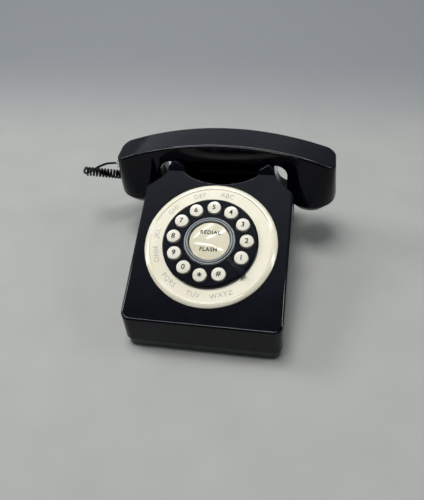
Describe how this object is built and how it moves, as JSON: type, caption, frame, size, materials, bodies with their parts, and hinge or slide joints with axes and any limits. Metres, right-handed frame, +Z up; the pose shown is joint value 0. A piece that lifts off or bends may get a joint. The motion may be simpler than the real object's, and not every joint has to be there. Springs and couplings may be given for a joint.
{
  "type": "desk telephone",
  "caption": "Desk telephone with a sloping case, a round dial of push keys, a rocking centre button, a lift-off handset on a horned cradle and a curly cord.",
  "frame": {"origin": "on the table, under the middle of the case and the handset", "axes": "+X to the right as seen by the person at the dial, +Y to the back, +Z up"},
  "size_m": [0.2717, 0.2488, 0.123],
  "materials": {
    "black_gloss": "polished moulding",
    "black_satin": "satin",
    "cream_gloss": "polished moulding",
    "chrome": "polished",
    "steel": "zinc plated",
    "yoke_white": "natural moulding",
    "iron": "as cast",
    "bell_brass": "polished",
    "winding": "enamelled wire",
    "board_green": "solder mask",
    "part_black": "moulded",
    "capsule_grey": "drawn",
    "rubber_black": "matt",
    "rubber_grey": "matt",
    "plug_clear": "clear moulding",
    "cord_black": "soft satin jacket"
  },
  "bodies": {
    "base": {"case_shell": "black_gloss", "dial_plate": "black_gloss", "finger_stop": "black_gloss", "base_plate": "black_satin", "ringer_switch": "black_satin", "hook_switch": "black_satin", "line_jack": "black_satin", "handset_jack": "black_satin", "dial_ring": "cream_gloss", "chrome_ring": "chrome", "base_screws": "steel", "dial_screws": "steel", "key_screws": "steel", "rocker_pin": "steel", "hook_spring": "steel", "board_screws": "steel", "ringer_bracket": "steel", "gong_screws": "steel", "clapper_pin": "steel", "ballast_plate": "iron", "gong_left": "bell_brass", "gong_right": "bell_brass", "ringer_coil": "winding", "main_board": "board_green", "key_board": "board_green", "board_parts": "part_black", "rubber_feet": "rubber_black", "key_mat": "rubber_grey", "base_cord_plug": "plug_clear", "handset_cord_lead": "cord_black", "handset_cord_coil": "cord_black", "handset_cord_tail": "cord_black"},
    "handset": {"handset_shell": "black_gloss", "ear_cap": "black_gloss", "mouth_cap": "black_gloss", "receiver_capsule": "capsule_grey", "microphone_capsule": "capsule_grey", "handset_weight": "iron", "handset_socket": "black_satin", "handset_cord_plug": "plug_clear"},
    "hook": {"hook_yoke": "yoke_white", "hook_plungers": "black_satin"},
    "key_1": {"key_1": "cream_gloss"},
    "key_2": {"key_2": "cream_gloss"},
    "key_3": {"key_3": "cream_gloss"},
    "key_4": {"key_4": "cream_gloss"},
    "key_5": {"key_5": "cream_gloss"},
    "key_6": {"key_6": "cream_gloss"},
    "key_7": {"key_7": "cream_gloss"},
    "key_8": {"key_8": "cream_gloss"},
    "key_9": {"key_9": "cream_gloss"},
    "key_0": {"key_0": "cream_gloss"},
    "key_star": {"key_star": "cream_gloss"},
    "key_hash": {"key_hash": "cream_gloss"},
    "rocker": {"centre_button": "cream_gloss"},
    "ringer_slide": {"ringer_knob": "black_satin"},
    "clapper": {"clapper": "steel"}
  },
  "joints": [
    {"name": "handset_lift", "type": "slide", "parent": "base", "child": "handset", "axis": [0, 0, 1], "range_m": [0, 0.08]},
    {"name": "hook_rise", "type": "slide", "parent": "base", "child": "hook", "axis": [0, 0, 1], "range_m": [0, 0.006], "deforming": ["hook_spring"]},
    {"name": "press_1", "type": "slide", "parent": "base", "child": "key_1", "axis": [0, 0.3746, -0.9272], "range_m": [0, 0.0016], "stiffness_N_per_m": 300},
    {"name": "press_2", "type": "slide", "parent": "base", "child": "key_2", "axis": [0, 0.3746, -0.9272], "range_m": [0, 0.0016], "stiffness_N_per_m": 300},
    {"name": "press_3", "type": "slide", "parent": "base", "child": "key_3", "axis": [0, 0.3746, -0.9272], "range_m": [0, 0.0016], "stiffness_N_per_m": 300},
    {"name": "press_4", "type": "slide", "parent": "base", "child": "key_4", "axis": [0, 0.3746, -0.9272], "range_m": [0, 0.0016], "stiffness_N_per_m": 300},
    {"name": "press_5", "type": "slide", "parent": "base", "child": "key_5", "axis": [0, 0.3746, -0.9272], "range_m": [0, 0.0016], "stiffness_N_per_m": 300},
    {"name": "press_6", "type": "slide", "parent": "base", "child": "key_6", "axis": [0, 0.3746, -0.9272], "range_m": [0, 0.0016], "stiffness_N_per_m": 300},
    {"name": "press_7", "type": "slide", "parent": "base", "child": "key_7", "axis": [0, 0.3746, -0.9272], "range_m": [0, 0.0016], "stiffness_N_per_m": 300},
    {"name": "press_8", "type": "slide", "parent": "base", "child": "key_8", "axis": [0, 0.3746, -0.9272], "range_m": [0, 0.0016], "stiffness_N_per_m": 300},
    {"name": "press_9", "type": "slide", "parent": "base", "child": "key_9", "axis": [0, 0.3746, -0.9272], "range_m": [0, 0.0016], "stiffness_N_per_m": 300},
    {"name": "press_0", "type": "slide", "parent": "base", "child": "key_0", "axis": [0, 0.3746, -0.9272], "range_m": [0, 0.0016], "stiffness_N_per_m": 300},
    {"name": "press_star", "type": "slide", "parent": "base", "child": "key_star", "axis": [0, 0.3746, -0.9272], "range_m": [0, 0.0016], "stiffness_N_per_m": 300},
    {"name": "press_hash", "type": "slide", "parent": "base", "child": "key_hash", "axis": [0, 0.3746, -0.9272], "range_m": [0, 0.0016], "stiffness_N_per_m": 300},
    {"name": "centre_rock", "type": "hinge", "parent": "base", "child": "rocker", "pos_m": [0, -0.0321, 0.07129], "axis": [1, 0, 0], "range_deg": [-3, 3], "stiffness_Nm_per_rad": 0.05},
    {"name": "ringer_set", "type": "slide", "parent": "base", "child": "ringer_slide", "axis": [1, 0, 0], "range_m": [0, 0.005]},
    {"name": "clapper_swing", "type": "hinge", "parent": "base", "child": "clapper", "pos_m": [0, -0.017, 0.0275], "axis": [0, 0, 1], "range_deg": [-3.4, 3.4], "stiffness_Nm_per_rad": 0.01}
  ],
  "couplings": [
    {"joint": "hook_rise", "follows": "handset_lift", "ratio": 0.075}
  ]
}
